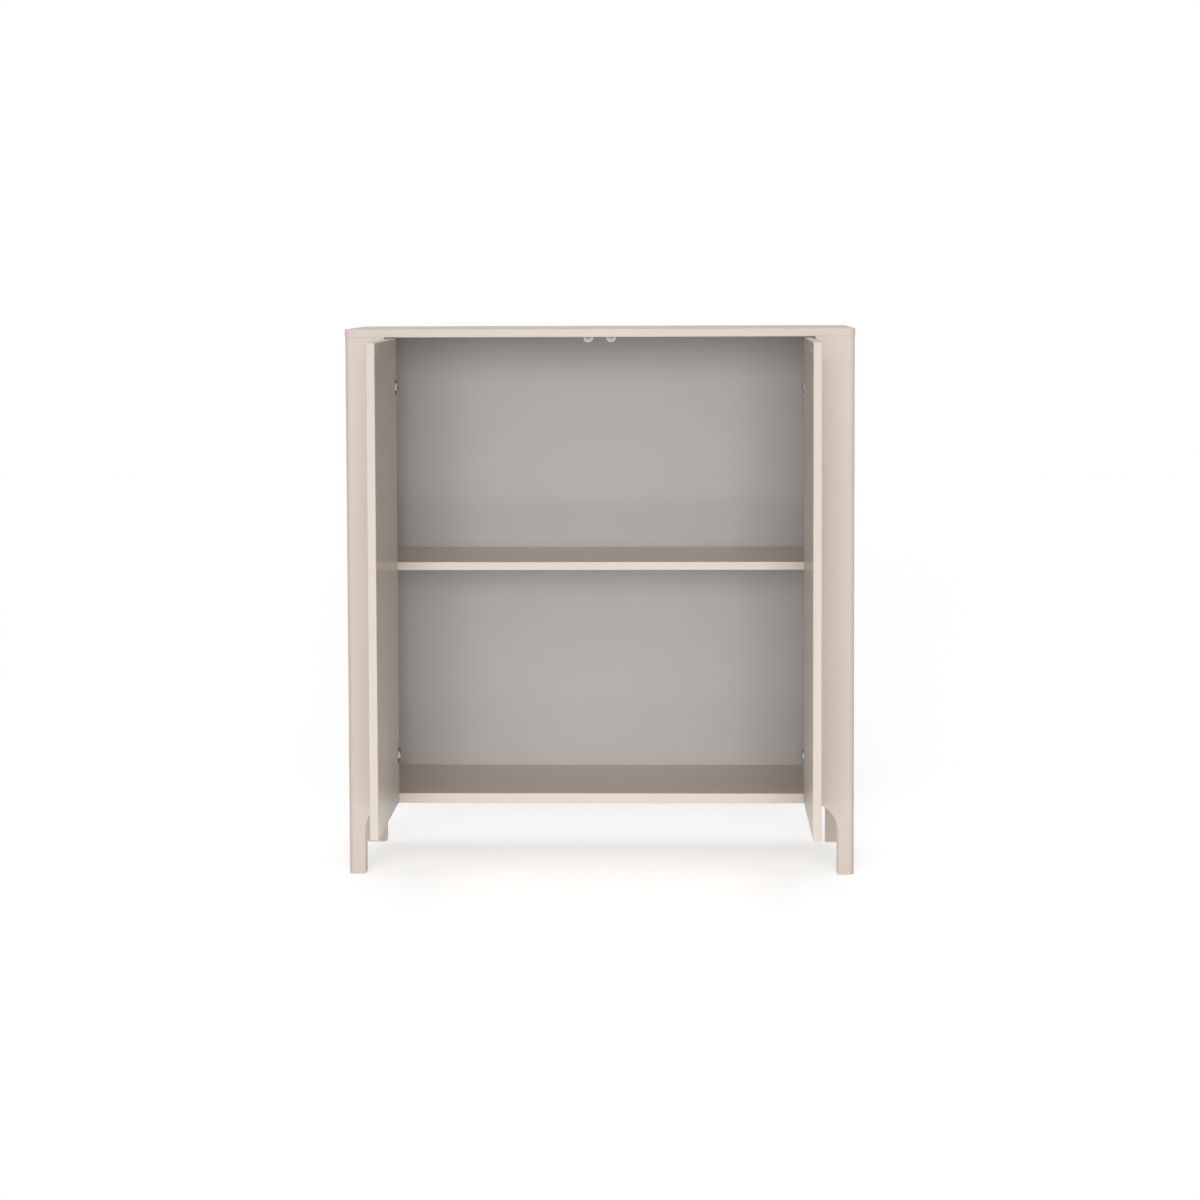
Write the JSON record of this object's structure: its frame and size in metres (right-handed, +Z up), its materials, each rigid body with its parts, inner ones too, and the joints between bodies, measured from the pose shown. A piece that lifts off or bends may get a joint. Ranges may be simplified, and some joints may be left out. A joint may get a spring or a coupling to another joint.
{
  "type": "two-door cabinet",
  "caption": "Free-standing lacquered cabinet on legs with inset swinging doors on concealed hinges, an inner shelf and push latches under the top.",
  "frame": {"origin": "on the floor, under the middle of the whole outline with both doors open at a right angle", "axes": "+X to the viewer's right along the front, +Y from the front to the back, +Z up"},
  "size_m": [1.112, 0.8676, 1.2],
  "materials": {
    "lacquer": "satin greige lacquer on board",
    "back_board": "thin board, matte grey-beige",
    "hinge_steel": "nickel-plated pressed steel",
    "screw_steel": "zinc-plated",
    "zinc": "die-cast or plated",
    "spring_steel": "drawn wire",
    "magnet": "plated magnet",
    "latch_plastic": "light grey moulded plastic",
    "plunger_plastic": "mid grey moulded plastic",
    "beech": "fluted beech dowel",
    "glide_nylon": "nylon glide"
  },
  "bodies": {
    "carcass": {"back_panel": "back_board", "back_screws": "screw_steel", "bolt_caps": "lacquer", "bottom_bolts": "zinc", "bottom_inserts": "zinc", "bottom_panel": "lacquer", "cam_bolts": "zinc", "cam_discs": "zinc", "foot_glides": "glide_nylon", "front_post_left": "lacquer", "front_post_right": "lacquer", "hinge_arm_screws": "screw_steel", "hinge_plate_screws": "screw_steel", "latch_screws": "screw_steel", "left_latch_housing": "latch_plastic", "left_latch_spring": "spring_steel", "left_lower_hinge_arm": "hinge_steel", "left_lower_hinge_plate": "hinge_steel", "left_upper_hinge_arm": "hinge_steel", "left_upper_hinge_plate": "hinge_steel", "rear_post_left": "lacquer", "rear_post_right": "lacquer", "right_latch_housing": "latch_plastic", "right_latch_spring": "spring_steel", "right_lower_hinge_arm": "hinge_steel", "right_lower_hinge_plate": "hinge_steel", "right_upper_hinge_arm": "hinge_steel", "right_upper_hinge_plate": "hinge_steel", "shelf": "lacquer", "shelf_pins": "zinc", "side_panel_left": "lacquer", "side_panel_right": "lacquer", "top_dowels": "beech", "top_panel": "lacquer"},
    "left_door": {"left_cup_screws": "screw_steel", "left_door": "lacquer", "left_lower_hinge_cup": "hinge_steel", "left_lower_hinge_pin": "hinge_steel", "left_strike_plate": "hinge_steel", "left_strike_screw": "screw_steel", "left_upper_hinge_cup": "hinge_steel", "left_upper_hinge_pin": "hinge_steel"},
    "right_door": {"right_cup_screws": "screw_steel", "right_door": "lacquer", "right_lower_hinge_cup": "hinge_steel", "right_lower_hinge_pin": "hinge_steel", "right_strike_plate": "hinge_steel", "right_strike_screw": "screw_steel", "right_upper_hinge_cup": "hinge_steel", "right_upper_hinge_pin": "hinge_steel"},
    "left_latch_plunger": {"left_latch_magnet": "magnet", "left_latch_plunger": "plunger_plastic"},
    "right_latch_plunger": {"right_latch_magnet": "magnet", "right_latch_plunger": "plunger_plastic"}
  },
  "joints": [
    {"name": "left_door_swing", "type": "hinge", "parent": "carcass", "child": "left_door", "pos_m": [-0.4532, 0.01795, 0.669], "axis": [0, 0, -1], "range_deg": [-90, 5]},
    {"name": "right_door_swing", "type": "hinge", "parent": "carcass", "child": "right_door", "pos_m": [0.4532, 0.01795, 0.669], "axis": [0, 0, 1], "range_deg": [-90, 5]},
    {"name": "left_latch_push", "type": "slide", "parent": "carcass", "child": "left_latch_plunger", "axis": [0, 1, 0], "range_m": [0, 0.004], "stiffness_N_per_m": 400, "deforming": ["left_latch_spring"]},
    {"name": "right_latch_push", "type": "slide", "parent": "carcass", "child": "right_latch_plunger", "axis": [0, 1, 0], "range_m": [0, 0.004], "stiffness_N_per_m": 400, "deforming": ["right_latch_spring"]}
  ]
}
